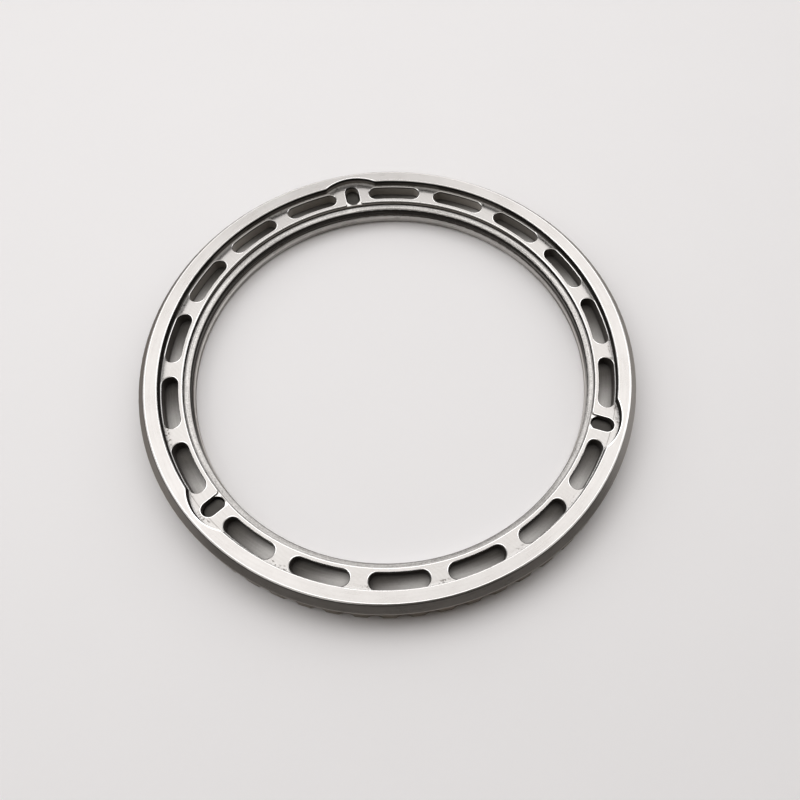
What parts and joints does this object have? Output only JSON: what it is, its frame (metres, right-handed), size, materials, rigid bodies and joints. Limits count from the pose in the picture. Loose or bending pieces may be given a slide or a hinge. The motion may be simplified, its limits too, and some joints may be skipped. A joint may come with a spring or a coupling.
{
  "type": "rotating watch bezel",
  "caption": "Turning bezel ring of a diver's watch lying face down, with pocketed underside, scale insert, luminous pip, split retaining wire and sprung plungers.",
  "frame": {"origin": "centre of the bore, on the surface that the lip stands on", "axes": "+Z along the bezel's turning axis, towards the watch case; +Y through the first radial slot and the zero mark"},
  "size_m": [0.0396, 0.0396, 0.003],
  "materials": {
    "ring_steel": "fine turned, edges bright",
    "wire_steel": "dark oxide, oiled",
    "anodised_black": "black anodised, satin",
    "bond_film": "adhesive film",
    "inlay_silver": "silver lacquer",
    "pip_steel": "polished",
    "lume": "luminous compound",
    "clear_dome": "clear, domed",
    "plunger_steel": "ground",
    "spring_steel": "spring temper"
  },
  "bodies": {
    "bezel": {"bezel_ring": "ring_steel", "insert": "anodised_black", "insert_bond": "bond_film", "zero_triangle": "inlay_silver", "numeral_10": "inlay_silver", "numeral_20": "inlay_silver", "numeral_30": "inlay_silver", "numeral_40": "inlay_silver", "numeral_50": "inlay_silver", "five_minute_bars": "inlay_silver", "minute_lines": "inlay_silver", "pip_cup": "pip_steel", "pip_lume": "lume", "pip_lens": "clear_dome", "plunger_spring_1": "spring_steel", "plunger_spring_2": "spring_steel", "plunger_spring_3": "spring_steel"},
    "wire": {"retaining_wire": "wire_steel"},
    "plunger_1": {"plunger_1": "plunger_steel"},
    "plunger_2": {"plunger_2": "plunger_steel"},
    "plunger_3": {"plunger_3": "plunger_steel"}
  },
  "joints": [
    {"name": "bezel_turn", "type": "hinge", "parent": "bezel", "child": "wire", "pos_m": [0, 0, 0.00126], "axis": [0, 0, 1], "continuous": true},
    {"name": "plunger_1_press", "type": "slide", "parent": "bezel", "child": "plunger_1", "axis": [0, 0, -1], "range_m": [0, 0.00025], "stiffness_N_per_m": 120, "deforming": ["plunger_spring_1"]},
    {"name": "plunger_2_press", "type": "slide", "parent": "bezel", "child": "plunger_2", "axis": [0, 0, -1], "range_m": [0, 0.00025], "stiffness_N_per_m": 120, "deforming": ["plunger_spring_2"]},
    {"name": "plunger_3_press", "type": "slide", "parent": "bezel", "child": "plunger_3", "axis": [0, 0, -1], "range_m": [0, 0.00025], "stiffness_N_per_m": 120, "deforming": ["plunger_spring_3"]}
  ]
}
